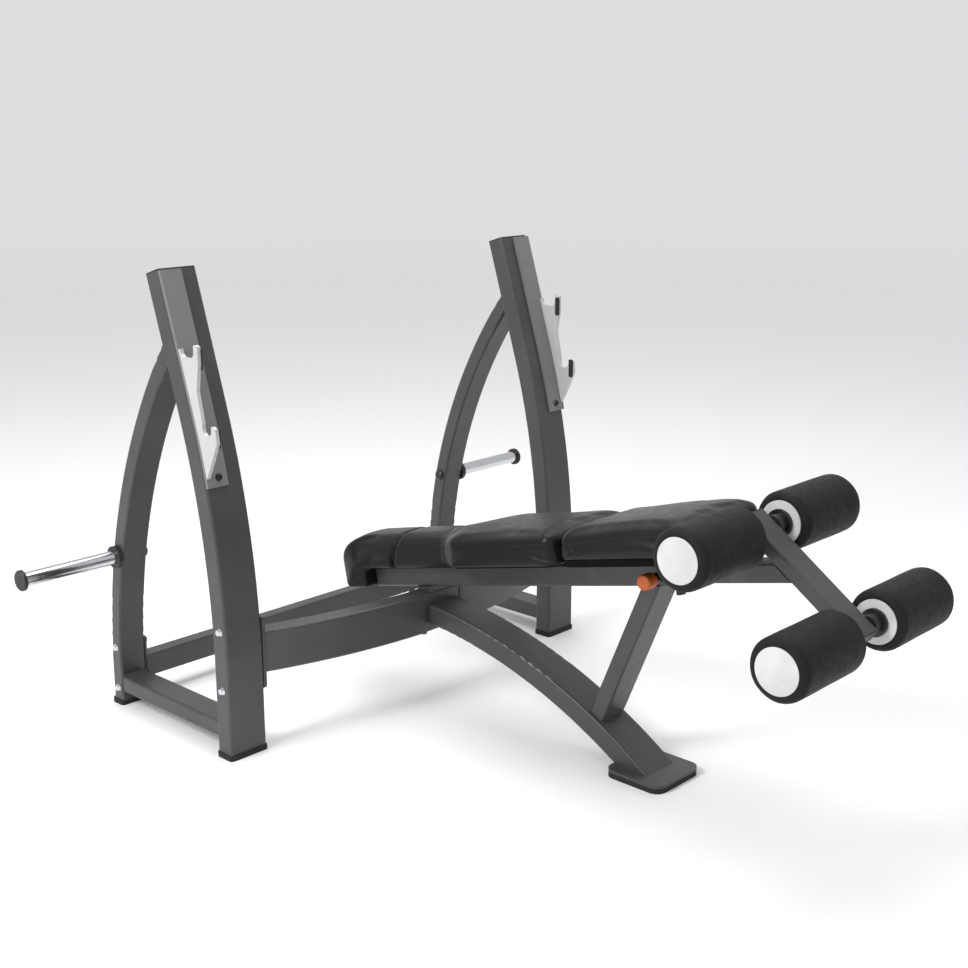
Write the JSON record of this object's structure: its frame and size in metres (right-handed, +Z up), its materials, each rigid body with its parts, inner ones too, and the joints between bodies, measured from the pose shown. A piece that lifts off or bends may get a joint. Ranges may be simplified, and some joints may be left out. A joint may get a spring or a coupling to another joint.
{
  "type": "adjustable weight bench",
  "caption": "Decline press bench with bar uprights and hooks, plate pegs, padded bench and a sliding leg hold with foam rollers.",
  "frame": {"origin": "on the floor under the centre of the bounding box", "axes": "+X to the right seen from the foot end, +Y from the leg hold towards the head end, +Z up"},
  "size_m": [1.69, 1.7712, 1.0979],
  "materials": {
    "frame_coat": "satin powder coat",
    "rubber_foot": "matte",
    "black_plastic": "satin",
    "catch_steel": "satin",
    "hook_steel": "bead blasted",
    "chrome": "polished",
    "vinyl": "satin vinyl",
    "board": "black painted",
    "foam": "soft foam skin",
    "roller_disc": "white",
    "zinc_steel": "zinc plated",
    "black_steel": "black",
    "orange_plastic": "satin"
  },
  "bodies": {
    "frame": {"front_upright_left": "frame_coat", "front_upright_right": "frame_coat", "upright_caps": "black_plastic", "rear_leg_left": "frame_coat", "rear_leg_right": "frame_coat", "base_tubes": "frame_coat", "front_foot_rubbers": "rubber_foot", "rear_foot_rubbers": "rubber_foot", "front_crossbeam_left": "frame_coat", "front_crossbeam_right": "frame_coat", "front_beam_flanges": "frame_coat", "rear_crossbeam": "frame_coat", "rear_beam_flanges": "frame_coat", "centre_hub": "frame_coat", "rail_saddle": "frame_coat", "arch_spine": "frame_coat", "foot_plate": "frame_coat", "foot_pad_rubber": "rubber_foot", "strut": "frame_coat", "bench_rail": "frame_coat", "rail_end_cap": "black_plastic", "rail_mouth_liner": "black_plastic", "catch_plates": "catch_steel", "bar_hook_left": "hook_steel", "bar_hook_right": "hook_steel", "hook_lip_guards": "black_plastic", "catch_bolts": "black_steel", "plate_peg_left": "chrome", "plate_peg_right": "chrome", "peg_collars": "black_plastic", "peg_end_caps": "black_plastic", "peg_bolts": "black_steel", "back_cushion": "vinyl", "back_board": "board", "seat_cushion": "vinyl", "seat_board": "board", "pad_brackets": "black_steel", "pad_screws": "zinc_steel", "pin_housing": "black_steel", "pin_spring": "zinc_steel", "rail_set_screw": "black_steel", "frame_bolts": "chrome", "frame_nuts": "black_steel"},
    "leg_hold": {"slide_tube": "frame_coat", "slide_bush": "black_plastic", "roller_post": "frame_coat", "post_caps": "black_plastic", "roller_axles": "chrome", "roller_spacers": "black_steel", "axle_end_screws": "zinc_steel"},
    "pull_pin": {"pull_pin": "zinc_steel", "pull_knob": "orange_plastic"},
    "roller_upper_left": {"foam_upper_left": "foam", "core_upper_left": "roller_disc"},
    "roller_upper_right": {"foam_upper_right": "foam", "core_upper_right": "roller_disc"},
    "roller_lower_left": {"foam_lower_left": "foam", "core_lower_left": "roller_disc"},
    "roller_lower_right": {"foam_lower_right": "foam", "core_lower_right": "roller_disc"}
  },
  "joints": [
    {"name": "leg_hold_slide", "type": "slide", "parent": "frame", "child": "leg_hold", "axis": [0, -0.975, 0.2222], "range_m": [0, 0.12]},
    {"name": "pull_pin_slide", "type": "slide", "parent": "frame", "child": "pull_pin", "axis": [1, 0, 0], "range_m": [0, 0.012]},
    {"name": "roller_upper_left_spin", "type": "hinge", "parent": "leg_hold", "child": "roller_upper_left", "pos_m": [0, -0.59798, 0.61642], "axis": [1, 0, 0], "continuous": true},
    {"name": "roller_upper_right_spin", "type": "hinge", "parent": "leg_hold", "child": "roller_upper_right", "pos_m": [0, -0.59798, 0.61642], "axis": [1, 0, 0], "continuous": true},
    {"name": "roller_lower_left_spin", "type": "hinge", "parent": "leg_hold", "child": "roller_lower_left", "pos_m": [0, -0.82156, 0.45718], "axis": [1, 0, 0], "continuous": true},
    {"name": "roller_lower_right_spin", "type": "hinge", "parent": "leg_hold", "child": "roller_lower_right", "pos_m": [0, -0.82156, 0.45718], "axis": [1, 0, 0], "continuous": true}
  ]
}
